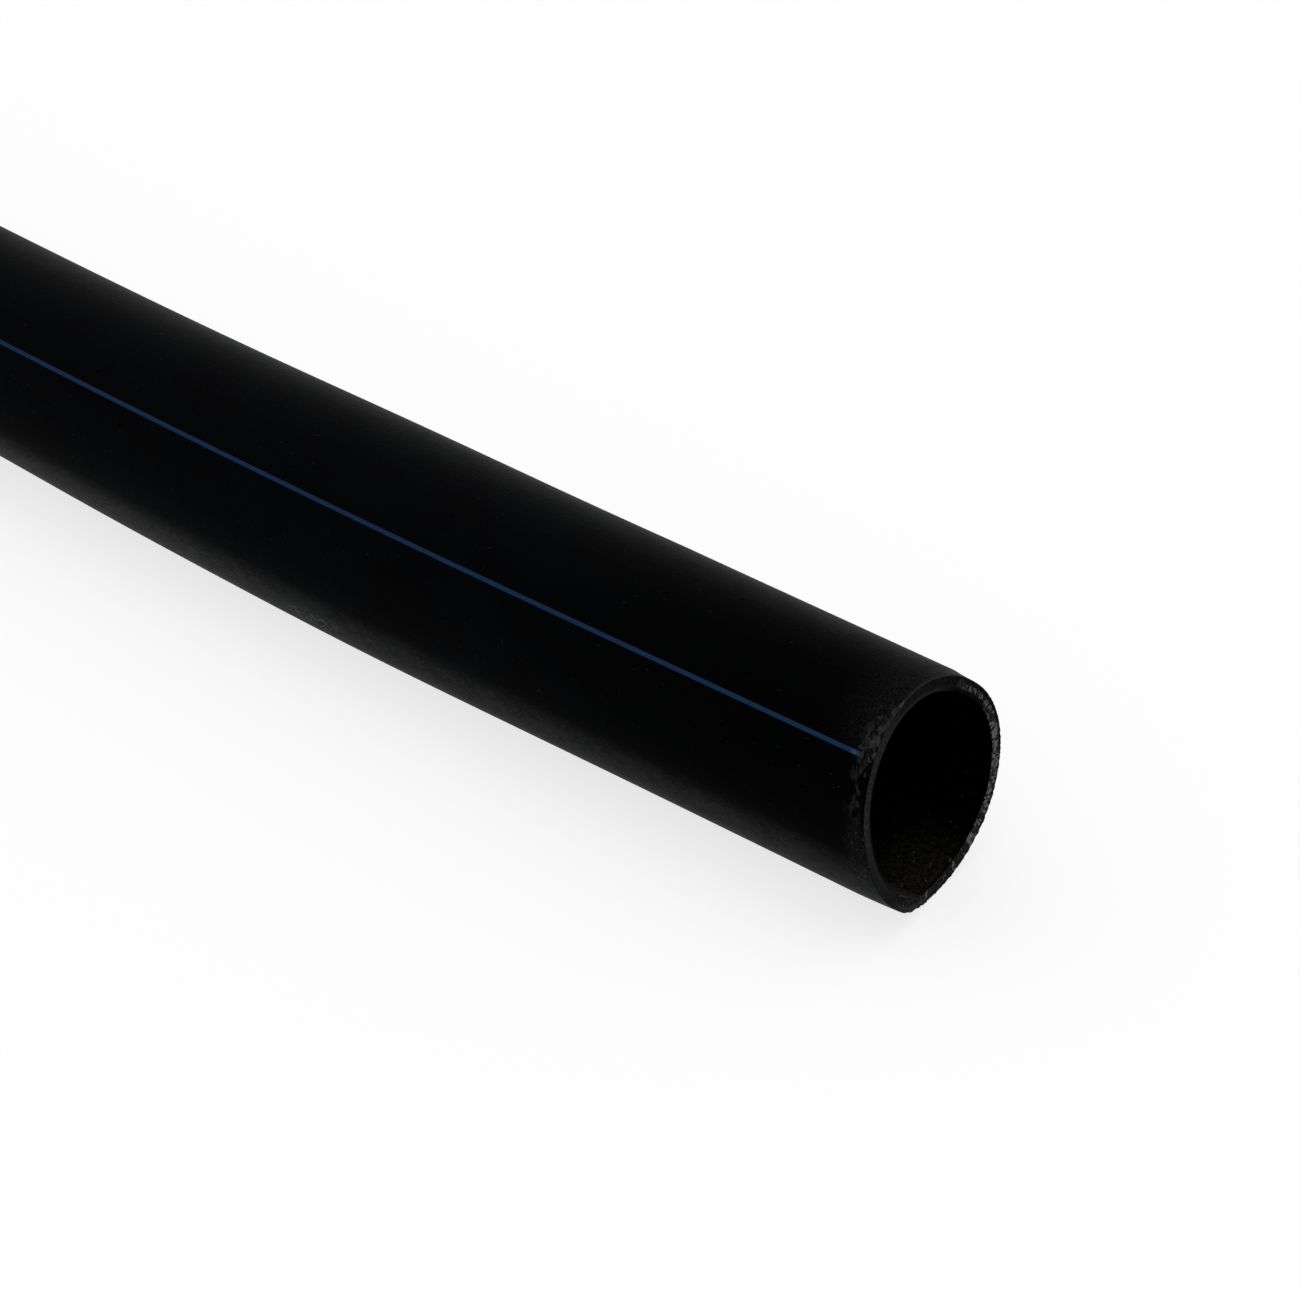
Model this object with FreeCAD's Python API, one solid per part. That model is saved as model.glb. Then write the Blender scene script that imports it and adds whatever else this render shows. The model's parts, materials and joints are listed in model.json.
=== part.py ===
"""Metre length of black polyethylene pressure pipe, sawn off a coil, with thin blue marking stripes.

Frame: the pipe lies on the floor (Z = 0) with its slight coil bend level, its chord along X and the
bend's hollow side towards +Y. The uneven sawn end points to +X, the plain square end to -X.
"""
import FreeCAD
import Part

import math
import os

# Driving dimensions, in millimetres and degrees
OUTER_DIAMETER = 63.0
WALL = 3.8
STOCK_LENGTH = 1000.0
STRAIGHT_END = 100.0
BEND_RADIUS = 5100.0

STRIPE_COUNT = 3
STRIPE_WIDTH = 1.2
STRIPE_DEPTH = 0.4
STRIPE_ANGLE = 39.8

# The saw went in from the front, then from the back, and the two cuts meet in a slope.
# Each cut is a plane: how far it stands out on the axis, and how much more per millimetre
# towards the front and per millimetre up.
FRONT_CUT_OUT = 3.65
FRONT_CUT_PER_FRONT = 0.044
FRONT_CUT_PER_UP = -0.185
BACK_CUT_OUT = -1.3
BACK_CUT_PER_FRONT = 0.047
BACK_CUT_PER_UP = -0.044
MEETING_LINE_ANGLE = 106.5
MEETING_SLOPE_WIDTH = 12.0
SAW_GRID_STEP = 3.0
SAW_OFFCUT = 40.0

outer_radius = OUTER_DIAMETER / 2
bore_radius = outer_radius - WALL
arc_length = STOCK_LENGTH - 2 * STRAIGHT_END
bend_angle = math.degrees(arc_length / BEND_RADIUS)

UP = FreeCAD.Vector(0, 0, 1)
bend_centre = FreeCAD.Vector(0, BEND_RADIUS, outer_radius)


def along(heading):
    """Unit vector in the floor plane, at this angle from +X."""
    turned = math.radians(heading)
    return FreeCAD.Vector(math.cos(turned), math.sin(turned), 0)


def bend_point(heading):
    """Point on the pipe's axis where the bend has this heading."""
    return bend_centre - along(heading + 90) * BEND_RADIUS


far_heading = -bend_angle / 2
near_heading = bend_angle / 2
far_bend_start = bend_point(far_heading)
near_bend_end = bend_point(near_heading)
near_axis = along(near_heading)
near_end = near_bend_end + near_axis * STRAIGHT_END
near_front = along(near_heading - 90)


def section_point(radius, angle):
    """Point of the cross-section at the bend's far start; angle 0 is the front, 90 is the top."""
    turned = math.radians(angle)
    front = along(far_heading - 90)
    return far_bend_start + (front * math.cos(turned) + UP * math.sin(turned)) * radius


def follow_pipe(section):
    """Carries a cross-section along the far straight end, the bend and the near straight end."""
    far_straight = section.extrude(along(far_heading) * -STRAIGHT_END)
    bend = section.revolve(bend_centre, UP, bend_angle)
    near_section = section.copy()
    near_section.rotate(bend_centre, UP, bend_angle)
    near_straight = near_section.extrude(near_axis * (STRAIGHT_END + SAW_OFFCUT / 2))
    whole = far_straight.fuse([bend, near_straight])
    return whole.removeSplitter()


def ring_section():
    """The pipe's wall in cross-section."""
    outside = Part.Circle(far_bend_start, along(far_heading), outer_radius)
    inside = Part.Circle(far_bend_start, along(far_heading), bore_radius)
    rim = Part.Wire(outside.toShape())
    hole = Part.Wire(inside.toShape())
    return Part.Face([rim, hole], "Part::FaceMakerBullseye")


def stripe_section(angle):
    """A thin band at this angle, flush with the outside and let into the wall."""
    half = math.degrees(STRIPE_WIDTH / 2 / outer_radius)
    floor_radius = outer_radius - STRIPE_DEPTH
    outside = Part.Arc(
        section_point(outer_radius, angle - half),
        section_point(outer_radius, angle),
        section_point(outer_radius, angle + half),
    ).toShape()
    inside = Part.Arc(
        section_point(floor_radius, angle - half),
        section_point(floor_radius, angle),
        section_point(floor_radius, angle + half),
    ).toShape()
    low_side = Part.makeLine(
        section_point(outer_radius, angle - half),
        section_point(floor_radius, angle - half),
    )
    high_side = Part.makeLine(
        section_point(outer_radius, angle + half),
        section_point(floor_radius, angle + half),
    )
    return Part.Face(Part.Wire([outside, high_side, inside, low_side]))


def saw_out(front, up):
    """How far the sawn face stands out from the square end, at this place in the section."""
    front_cut = FRONT_CUT_OUT + FRONT_CUT_PER_FRONT * front + FRONT_CUT_PER_UP * up
    back_cut = BACK_CUT_OUT + BACK_CUT_PER_FRONT * front + BACK_CUT_PER_UP * up
    line = math.radians(MEETING_LINE_ANGLE)
    before_line = front * math.sin(line) - up * math.cos(line)
    share = (1 + math.tanh(before_line / MEETING_SLOPE_WIDTH)) / 2
    return back_cut + (front_cut - back_cut) * share


def saw_offcut():
    """The block of space beyond the sawn face, which the saw took away."""
    reach = outer_radius + 2 * SAW_GRID_STEP
    steps = int(2 * reach / SAW_GRID_STEP)
    grid = []
    for row in range(steps + 1):
        front = -reach + row * SAW_GRID_STEP
        line = []
        for column in range(steps + 1):
            up = -reach + column * SAW_GRID_STEP
            point = near_end + near_front * front + UP * up + near_axis * saw_out(front, up)
            line.append(point)
        grid.append(line)
    surface = Part.BSplineSurface()
    surface.interpolate(grid)
    return surface.toShape().extrude(near_axis * SAW_OFFCUT)


offcut = saw_offcut()
stripes = []
for number in range(STRIPE_COUNT):
    angle = STRIPE_ANGLE + number * 360 / STRIPE_COUNT
    stripes.append(follow_pipe(stripe_section(angle)))

pipe_wall = follow_pipe(ring_section()).cut(stripes).cut(offcut).removeSplitter()
blue_stripes = []
for stripe in stripes:
    blue_stripes.append(stripe.cut(offcut))

box = pipe_wall.optimalBoundingBox(False, False)
to_origin = FreeCAD.Vector(-box.Center.x, -box.Center.y, 0)

nodes = {
    "pipe_wall": pipe_wall,
    "blue_stripes": Part.Compound(blue_stripes),
}

os.makedirs("parts", exist_ok=True)
for name, shape in nodes.items():
    shape.translate(to_origin)
    shape.exportStep("parts/" + name + ".step")
    solids = shape.Solids
    print(name, "solids", len(solids), "valid", shape.isValid(), "volume", round(shape.Volume, 1))

box = pipe_wall.optimalBoundingBox(False, False)
print("box", box)
print("near end on the axis", near_end + to_origin, "axis", near_axis)
far_end = far_bend_start - along(far_heading) * STRAIGHT_END + to_origin
print("far end on the axis", far_end, "axis", along(far_heading) * -1)
print("bend centre", bend_centre + to_origin, "bend angle", bend_angle)
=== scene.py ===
"""Black polyethylene water pipe: a metre sawn off a coil, lying on a pale studio floor."""
import json
import math

import bpy
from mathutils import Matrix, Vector


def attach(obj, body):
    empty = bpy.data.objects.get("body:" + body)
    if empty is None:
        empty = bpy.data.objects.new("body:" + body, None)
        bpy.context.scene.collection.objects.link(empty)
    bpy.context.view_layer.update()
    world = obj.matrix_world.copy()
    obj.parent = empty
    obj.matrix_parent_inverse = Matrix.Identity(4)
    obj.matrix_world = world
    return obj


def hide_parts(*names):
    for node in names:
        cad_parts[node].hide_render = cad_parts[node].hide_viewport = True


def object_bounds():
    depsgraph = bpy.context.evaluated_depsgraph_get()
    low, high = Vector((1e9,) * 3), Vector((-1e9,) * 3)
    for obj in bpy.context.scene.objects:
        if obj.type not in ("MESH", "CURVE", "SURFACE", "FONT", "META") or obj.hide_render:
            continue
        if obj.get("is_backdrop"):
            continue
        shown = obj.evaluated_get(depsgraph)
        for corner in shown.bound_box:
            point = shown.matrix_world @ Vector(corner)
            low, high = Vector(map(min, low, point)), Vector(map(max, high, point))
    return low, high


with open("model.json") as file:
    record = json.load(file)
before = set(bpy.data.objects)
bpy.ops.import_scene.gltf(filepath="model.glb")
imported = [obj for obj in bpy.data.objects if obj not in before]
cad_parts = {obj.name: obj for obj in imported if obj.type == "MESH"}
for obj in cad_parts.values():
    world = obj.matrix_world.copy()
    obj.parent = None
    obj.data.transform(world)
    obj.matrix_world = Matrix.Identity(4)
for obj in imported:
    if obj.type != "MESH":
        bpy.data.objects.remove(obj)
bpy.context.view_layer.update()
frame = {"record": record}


# The coil bend and the saw cut.
# Storage on a coil left the pipe with a slight level bend between two straight ends. It was sawn
# through from the front, cleanly, and then from the back, roughly, and the cuts meet in a slope.
PIPE_RADIUS = 0.0315
PIPE_LENGTH = 1.0
STRAIGHT_END = 0.1
BEND_RADIUS = 5.1

spigots = {}
for mount in frame["record"]["mounts"]:
    spigots[mount["name"]] = mount
sawn_end = Vector(spigots["sawn_end_spigot"]["pos_m"])
sawn_end_axis = Vector(spigots["sawn_end_spigot"]["axis"]).normalized()
hollow_side = Vector((-sawn_end_axis.y, sawn_end_axis.x, 0.0))
bend_centre = sawn_end - sawn_end_axis * STRAIGHT_END + hollow_side * BEND_RADIUS
bend_turn = (PIPE_LENGTH - 2 * STRAIGHT_END) / BEND_RADIUS


def fill(tree, made, values):
    """Fills the inputs of a node with values or links, by name or by number."""
    for label, value in values.items():
        if isinstance(value, bpy.types.NodeSocket):
            tree.links.new(value, made.inputs[label])
        else:
            made.inputs[label].default_value = value


def add_node(tree, kind, values=None, **options):
    """A new node with its options set and its inputs filled."""
    made = tree.nodes.new(kind)
    for name, option in options.items():
        setattr(made, name, option)
    fill(tree, made, values or {})
    return made


def calc(tree, operation, *values):
    """One step of arithmetic on numbers or links; gives back the link to its result."""
    return add_node(tree, "ShaderNodeMath", dict(enumerate(values)), operation=operation).outputs[0]


def product(tree, first, *others):
    """Several numbers or masks multiplied together."""
    for other in others:
        first = calc(tree, "MULTIPLY", first, other)
    return first


def opposite(tree, share):
    """1 where the share is 0, and 0 where it is 1."""
    return calc(tree, "SUBTRACT", 1.0, share)


def vector_calc(tree, operation, *values):
    """One step of arithmetic on vectors; gives back the link to its result."""
    made = add_node(tree, "ShaderNodeVectorMath", dict(enumerate(values)), operation=operation)
    return made.outputs["Value"] if operation == "DOT_PRODUCT" else made.outputs[0]


def join(tree, x, y, z):
    """A vector from three numbers or links."""
    return add_node(tree, "ShaderNodeCombineXYZ", {0: x, 1: y, 2: z}).outputs[0]


def split(tree, vector):
    """The three numbers of a vector."""
    return add_node(tree, "ShaderNodeSeparateXYZ", {0: vector}).outputs


def new_tree(name, inputs, outputs, kind="GeometryNodeTree"):
    """A node group with these named sockets: (name, kind of socket, starting value or None)."""
    tree = bpy.data.node_groups.new(name, kind)
    for way, sockets in (("INPUT", inputs), ("OUTPUT", outputs)):
        for label, socket_kind, start in sockets:
            socket = tree.interface.new_socket(label, in_out=way, socket_type="NodeSocket" + socket_kind)
            if start is not None:
                socket.default_value = start
    given = tree.nodes.new("NodeGroupInput").outputs
    result = tree.nodes.new("NodeGroupOutput").inputs
    return tree, given, result


def place_group(tree, group, values):
    """Puts a node group into a tree, fills its inputs and gives back its outputs."""
    kind = "ShaderNodeGroup" if group.bl_idname == "ShaderNodeTree" else "GeometryNodeGroup"
    made = add_node(tree, kind, node_tree=group)
    fill(tree, made, values)
    return made.outputs


def place_in_section(tree):
    """Links to a point's three places in the straight pipe: along, front and up."""
    return split(tree, add_node(tree, "GeometryNodeInputPosition").outputs[0])


def store(tree, geometry, name, value, data_type="FLOAT", domain="POINT"):
    """Keeps a value on the mesh under this name."""
    values = {"Geometry": geometry, "Name": name, "Value": value}
    kind = "GeometryNodeStoreNamedAttribute"
    return add_node(tree, kind, values, data_type=data_type, domain=domain).outputs[0]


front_share, given, result = new_tree(
    "Share of the front cut",
    [
        ("Front", "Float", 0.0),
        ("Up", "Float", 0.0),
        ("Meeting Line Angle", "Float", math.radians(106.5)),
        ("Meeting Slope Width", "Float", 0.012),
    ],
    [("Share", "Float", None)],
)
line_front = calc(front_share, "SINE", given["Meeting Line Angle"])
line_up = calc(front_share, "COSINE", given["Meeting Line Angle"])
front_part = calc(front_share, "MULTIPLY", given["Front"], line_front)
up_part = calc(front_share, "MULTIPLY", given["Up"], line_up)
before_line = calc(front_share, "SUBTRACT", front_part, up_part)
swing = calc(front_share, "TANH", calc(front_share, "DIVIDE", before_line, given["Meeting Slope Width"]))
front_share.links.new(calc(front_share, "MULTIPLY_ADD", swing, 0.5, 0.5), result["Share"])

swell, given, result = new_tree(
    "Swell at an angle",
    [
        ("Front", "Float", 0.0),
        ("Up", "Float", 0.0),
        ("Angle", "Float", 0.0),
        ("Half Width", "Float", 0.5),
    ],
    [("Share", "Float", None)],
)
direction = vector_calc(swell, "NORMALIZE", join(swell, given["Front"], given["Up"], 0.0))
middle = join(swell, calc(swell, "COSINE", given["Angle"]), calc(swell, "SINE", given["Angle"]), 0.0)
turned_away = calc(swell, "SUBTRACT", vector_calc(swell, "DOT_PRODUCT", direction, middle), 1.0)
width_squared = calc(swell, "MULTIPLY", given["Half Width"], given["Half Width"])
fall = calc(swell, "DIVIDE", calc(swell, "MULTIPLY", turned_away, 2.0), width_squared)
swell.links.new(calc(swell, "EXPONENT", fall), result["Share"])

saw_and_bend, given, result = new_tree(
    "Saw and bend",
    [
        ("Geometry", "Geometry", None),
        ("Length", "Float", PIPE_LENGTH),
        ("Straight End", "Float", STRAIGHT_END),
        ("Bend Radius", "Float", BEND_RADIUS),
        ("Bend Turn", "Float", bend_turn),
        ("Bend Centre", "Vector", bend_centre),
        ("Front Cut Out", "Float", 0.00365),
        ("Front Cut Per Front", "Float", 0.044),
        ("Front Cut Per Up", "Float", -0.185),
        ("Front Cut Roughness", "Float", 0.00012),
        ("Back Cut Out", "Float", -0.0013),
        ("Back Cut Per Front", "Float", 0.047),
        ("Back Cut Per Up", "Float", -0.044),
        ("Back Cut Roughness", "Float", 0.0009),
        ("Torn Grain", "Float", 0.0013),
        ("Top Taper", "Float", -0.0011),
        ("Top Taper Length", "Float", 0.1),
        ("Top Taper Angle", "Float", math.radians(125.0)),
        ("Top Taper Half Width", "Float", math.radians(32.0)),
        ("Top Lip", "Float", -0.0005),
        ("Top Lip Length", "Float", 0.006),
        ("Top Lip Angle", "Float", math.radians(125.0)),
        ("Top Lip Half Width", "Float", math.radians(26.0)),
        ("Back Bulge", "Float", 0.00042),
        ("Back Bulge Length", "Float", 0.1),
        ("Back Bulge Angle", "Float", math.radians(215.0)),
        ("Back Bulge Half Width", "Float", math.radians(60.0)),
        ("Bottom Toe", "Float", -0.00076),
        ("Bottom Toe Length", "Float", 0.0172),
        ("Bottom Toe Angle", "Float", math.radians(-58.5)),
        ("Bottom Toe Half Width", "Float", math.radians(18.0)),
        ("Oval Stretch", "Float", 0.00062),
        ("Oval Stretch Angle", "Float", math.radians(130.0)),
        ("Oval Stretch Middle", "Float", 0.2),
        ("Oval Stretch Reach", "Float", 0.065),
        ("Far Flat", "Float", -0.001),
        ("Far Flat Angle", "Float", math.radians(-50.0)),
        ("Far Flat Half Width", "Float", math.radians(30.0)),
        ("Far Flat Middle", "Float", 0.37),
        ("Far Flat Reach", "Float", 0.055),
    ],
    [("Geometry", "Geometry", None)],
)
dents_at_the_saw = (
    ("Top Taper", 1.0),
    ("Top Lip", 0.5),
    ("Back Bulge", 1.0),
    ("Bottom Toe", 2.0),
)
along, round_front, round_up = place_in_section(saw_and_bend)
from_saw = calc(saw_and_bend, "SUBTRACT", given["Length"], along)


def around_angle(dent):
    """1 at this dent's angle, fading away round the pipe to both sides."""
    values = {
        "Front": round_front,
        "Up": round_up,
        "Angle": given[dent + " Angle"],
        "Half Width": given[dent + " Half Width"],
    }
    return place_group(saw_and_bend, swell, values)["Share"]


def near_middle(stretch):
    """1 at the middle of this stretch of the pipe, fading away along it on both sides."""
    off_middle = calc(saw_and_bend, "SUBTRACT", from_saw, given[stretch + " Middle"])
    off_middle = calc(saw_and_bend, "DIVIDE", off_middle, given[stretch + " Reach"])
    squared = calc(saw_and_bend, "MULTIPLY", off_middle, off_middle)
    return calc(saw_and_bend, "EXPONENT", calc(saw_and_bend, "MULTIPLY", squared, -1.0))


out_of_round = 0.0
for dent, steepness in dents_at_the_saw:
    used_up = calc(saw_and_bend, "DIVIDE", from_saw, given[dent + " Length"])
    lengthways = calc(saw_and_bend, "MAXIMUM", opposite(saw_and_bend, used_up), 0.0)
    lengthways = calc(saw_and_bend, "POWER", lengthways, steepness)
    dented = calc(saw_and_bend, "MULTIPLY", around_angle(dent), lengthways)
    out_of_round = calc(saw_and_bend, "MULTIPLY_ADD", dented, given[dent], out_of_round)
flattened = calc(saw_and_bend, "MULTIPLY", around_angle("Far Flat"), near_middle("Far Flat"))
out_of_round = calc(saw_and_bend, "MULTIPLY_ADD", flattened, given["Far Flat"], out_of_round)
outward = vector_calc(saw_and_bend, "NORMALIZE", join(saw_and_bend, 0.0, round_front, round_up))
oval_front = calc(saw_and_bend, "COSINE", given["Oval Stretch Angle"])
oval_up = calc(saw_and_bend, "SINE", given["Oval Stretch Angle"])
lean = vector_calc(saw_and_bend, "DOT_PRODUCT", outward, join(saw_and_bend, 0.0, oval_front, oval_up))
wider = calc(saw_and_bend, "MULTIPLY_ADD", calc(saw_and_bend, "MULTIPLY", lean, lean), 2.0, -1.0)
oval = calc(saw_and_bend, "MULTIPLY", wider, near_middle("Oval Stretch"))
out_of_round = calc(saw_and_bend, "MULTIPLY_ADD", oval, given["Oval Stretch"], out_of_round)
shift = add_node(
    saw_and_bend,
    "ShaderNodeVectorMath",
    {0: outward, "Scale": out_of_round},
    operation="SCALE",
)
_, shift_front, shift_up = split(saw_and_bend, shift.outputs[0])
front = calc(saw_and_bend, "ADD", round_front, shift_front)
up = calc(saw_and_bend, "ADD", round_up, shift_up)

cuts = {}
for cut in ("Front Cut", "Back Cut"):
    level = calc(saw_and_bend, "MULTIPLY_ADD", front, given[cut + " Per Front"], given[cut + " Out"])
    cuts[cut] = calc(saw_and_bend, "MULTIPLY_ADD", up, given[cut + " Per Up"], level)
share = place_group(saw_and_bend, front_share, {"Front": front, "Up": up})["Share"]
slope = calc(saw_and_bend, "SUBTRACT", cuts["Front Cut"], cuts["Back Cut"])
cut_out = calc(saw_and_bend, "MULTIPLY_ADD", slope, share, cuts["Back Cut"])
torn = add_node(
    saw_and_bend,
    "ShaderNodeTexNoise",
    {
        "Vector": join(saw_and_bend, 0.0, front, up),
        "Scale": calc(saw_and_bend, "DIVIDE", 1.0, given["Torn Grain"]),
        "Detail": 3.0,
    },
)
torn_height = calc(saw_and_bend, "SUBTRACT", torn.outputs["Fac"], 0.5)
calmer = calc(saw_and_bend, "SUBTRACT", given["Front Cut Roughness"], given["Back Cut Roughness"])
roughness = calc(saw_and_bend, "MULTIPLY_ADD", calmer, share, given["Back Cut Roughness"])
cut_out = calc(saw_and_bend, "MULTIPLY_ADD", torn_height, roughness, cut_out)
stretch = calc(saw_and_bend, "ADD", calc(saw_and_bend, "DIVIDE", cut_out, given["Length"]), 1.0)
sawn_along = calc(saw_and_bend, "MULTIPLY", along, stretch)

into_bend = calc(saw_and_bend, "SUBTRACT", sawn_along, given["Straight End"])
turn = calc(saw_and_bend, "MAXIMUM", calc(saw_and_bend, "DIVIDE", into_bend, given["Bend Radius"]), 0.0)
turn = calc(saw_and_bend, "MINIMUM", turn, given["Bend Turn"])
bent_length = calc(saw_and_bend, "MULTIPLY", turn, given["Bend Radius"])
beyond_bend = calc(saw_and_bend, "SUBTRACT", into_bend, bent_length)
heading = calc(saw_and_bend, "MULTIPLY_ADD", given["Bend Turn"], -0.5, turn)
sine = calc(saw_and_bend, "SINE", heading)
cosine = calc(saw_and_bend, "COSINE", heading)
swung_radius = calc(saw_and_bend, "ADD", given["Bend Radius"], front)
swung_x = calc(saw_and_bend, "MULTIPLY", swung_radius, sine)
swung_y = calc(saw_and_bend, "MULTIPLY", swung_radius, cosine)
bent_x = calc(saw_and_bend, "MULTIPLY_ADD", beyond_bend, cosine, swung_x)
bent_y = calc(saw_and_bend, "SUBTRACT", calc(saw_and_bend, "MULTIPLY", beyond_bend, sine), swung_y)
from_centre = join(saw_and_bend, bent_x, bent_y, up)
straight_place = join(saw_and_bend, from_saw, round_front, round_up)
noted = store(saw_and_bend, given["Geometry"], "straight_place", straight_place, "FLOAT_VECTOR")
moved = add_node(
    saw_and_bend,
    "GeometryNodeSetPosition",
    {"Geometry": noted, "Position": vector_calc(saw_and_bend, "ADD", given["Bend Centre"], from_centre)},
)
turned_out = add_node(saw_and_bend, "GeometryNodeFlipFaces", {"Mesh": moved.outputs[0]})
saw_and_bend.links.new(turned_out.outputs[0], result["Geometry"])


def cut_and_bent(tree, geometry, length):
    """A straight piece, sent through the saw cut and the coil bend."""
    return place_group(tree, saw_and_bend, {"Geometry": geometry, "Length": length})["Geometry"]


def round_the_pipe(tree, along, radius, angle):
    """A place in the straight pipe, from how far along it lies, its radius and its angle."""
    front = calc(tree, "MULTIPLY", radius, calc(tree, "COSINE", angle))
    up = calc(tree, "MULTIPLY", radius, calc(tree, "SINE", angle))
    return join(tree, along, front, up)


def kept_number(tree, name):
    """A number that a tree keeps on the mesh under this name."""
    return add_node(tree, "GeometryNodeInputNamedAttribute", {"Name": name}, data_type="FLOAT").outputs[0]


def set_finish(tree, geometry, material, chosen=True):
    """Gives a material to the geometry, or to the faces that are chosen."""
    values = {"Geometry": geometry, "Selection": chosen, "Material": material}
    return add_node(tree, "GeometryNodeSetMaterial", values).outputs[0]


def make_piece(name, tree, settings):
    """Runs a tree and keeps its result as a plain mesh object of this name."""
    maker = bpy.data.objects.new(name + "_maker", bpy.data.meshes.new(name + "_maker"))
    bpy.context.scene.collection.objects.link(maker)
    modifier = maker.modifiers.new("maker", "NODES")
    modifier.node_group = tree
    for item in tree.interface.items_tree:
        if item.in_out == "INPUT" and item.name in settings:
            modifier[item.identifier] = settings[item.name]
    depsgraph = bpy.context.evaluated_depsgraph_get()
    mesh = bpy.data.meshes.new_from_object(
        maker.evaluated_get(depsgraph), preserve_all_data_layers=True, depsgraph=depsgraph
    )
    bpy.data.objects.remove(maker)
    mesh.name = name
    piece = bpy.data.objects.new(name, mesh)
    bpy.context.scene.collection.objects.link(piece)
    return piece


# The pipe wall: one black polyethylene wall, extruded through a round die and left matt.
# Its near end is sawn by hand, with an outer edge that the saw rounded and a ragged inner edge at
# the back, and its far end is cut square. Ground dust, rubs and fine grit cling to it.
# Its colours also hold painted light: highlights on the rim and the bottom toe, and shade at the sawn face's
# edges and in its pits.
WALL = 0.0038
SKIN_ROWS = 100
SAWN_FACE_ROWS = 14
BORE_ROWS = 50
SQUARE_FACE_ROWS = 4
ROWS = SKIN_ROWS + SAWN_FACE_ROWS + BORE_ROWS + SQUARE_FACE_ROWS
STEPS_AROUND = 512
EVEN_SHARE_OF_ROWS = 0.02
ROW_CROWDING = 3.0


def principled(name, **values):
    """A material with one principled shader, whose plain sockets hold these values."""
    material = bpy.data.materials.new(name)
    material.use_nodes = True
    shader = material.node_tree.nodes["Principled BSDF"]
    for label, value in values.items():
        shader.inputs[label.replace("_", " ")].default_value = value
    return material, material.node_tree, shader


def attribute(tree, name, output):
    """A value that the geometry trees kept on the mesh."""
    return add_node(tree, "ShaderNodeAttribute", attribute_name=name).outputs[output]


def paint_over(tree, under, mask, colour):
    """Colour laid over what is under it, as far as the mask goes."""
    mix = add_node(tree, "ShaderNodeMix", {0: mask}, data_type="RGBA")
    # For colours, this node's sockets are 6 and 7 and its result is 2.
    for socket, value in ((mix.inputs[6], under), (mix.inputs[7], colour)):
        if isinstance(value, bpy.types.NodeSocket):
            tree.links.new(value, socket)
        else:
            socket.default_value = (*value, 1.0)
    return mix.outputs[2]


def paint_layers(tree, colour, *layers):
    """A ground colour with layers over it, the lowest first, each a mask and its colour."""
    for mask, layer_colour in layers:
        colour = paint_over(tree, colour, mask, layer_colour)
    return colour


def ramp(tree, value, none_at, full_at):
    """A soft rise from 0 at the first value to 1 at the second, either way round."""
    made = add_node(
        tree,
        "ShaderNodeMapRange",
        {"Value": value, "From Min": none_at, "From Max": full_at},
        interpolation_type="SMOOTHSTEP",
    )
    return made.outputs[0]


def relief(tree, shader, height, distance):
    """Fine bumps on the shader's surface, this many metres high where the height is 1."""
    bump = add_node(tree, "ShaderNodeBump", {"Height": height, "Distance": distance})
    tree.links.new(bump.outputs[0], shader.inputs["Normal"])


specks, given, result = new_tree(
    "Specks",
    [
        ("Place", "Vector", (0.0, 0.0, 0.0)),
        ("Stretch", "Vector", (1.0, 1.0, 1.0)),
        ("Size", "Float", 0.001),
        ("Level", "Float", 0.5),
        ("Softness", "Float", 0.1),
        ("Detail", "Float", 2.0),
    ],
    [("Mask", "Float", None)],
    kind="ShaderNodeTree",
)
noise = add_node(
    specks,
    "ShaderNodeTexNoise",
    {
        "Vector": vector_calc(specks, "DIVIDE", given["Place"], given["Stretch"]),
        "Scale": calc(specks, "DIVIDE", 1.0, given["Size"]),
        "Detail": given["Detail"],
    },
)
full_level = calc(specks, "ADD", given["Level"], given["Softness"])
specks.links.new(ramp(specks, noise.outputs["Fac"], given["Level"], full_level), result["Mask"])

side_of_pipe, given, result = new_tree(
    "Side of the pipe",
    [
        ("Place", "Vector", (0.0, 0.0, 0.0)),
        ("Middle", "Float", 0.0),
        ("Full Within", "Float", 0.3),
        ("None Beyond", "Float", 0.8),
    ],
    [("Mask", "Float", None)],
    kind="ShaderNodeTree",
)
middle_front = calc(side_of_pipe, "COSINE", given["Middle"])
middle_up = calc(side_of_pipe, "SINE", given["Middle"])
in_section = vector_calc(side_of_pipe, "MULTIPLY", given["Place"], (0.0, 1.0, 1.0))
facing = vector_calc(
    side_of_pipe,
    "DOT_PRODUCT",
    vector_calc(side_of_pipe, "NORMALIZE", in_section),
    join(side_of_pipe, 0.0, middle_front, middle_up),
)
none_at = calc(side_of_pipe, "COSINE", given["None Beyond"])
full_at = calc(side_of_pipe, "COSINE", given["Full Within"])
side_of_pipe.links.new(ramp(side_of_pipe, facing, none_at, full_at), result["Mask"])

near_saw, given, result = new_tree(
    "Near the saw",
    [
        ("Place", "Vector", (0.0, 0.0, 0.0)),
        ("Full Up To", "Float", 0.002),
        ("None Beyond", "Float", 0.008),
    ],
    [("Mask", "Float", None)],
    kind="ShaderNodeTree",
)
distance = split(near_saw, given["Place"])[0]
near_saw.links.new(ramp(near_saw, distance, given["None Beyond"], given["Full Up To"]), result["Mask"])


def mask_of(tree, group, place, **values):
    """The mask of one of these effects, at this place on the pipe."""
    settings = {label.replace("_", " "): value for label, value in values.items()}
    return place_group(tree, group, {"Place": place, **settings})["Mask"]


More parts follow.
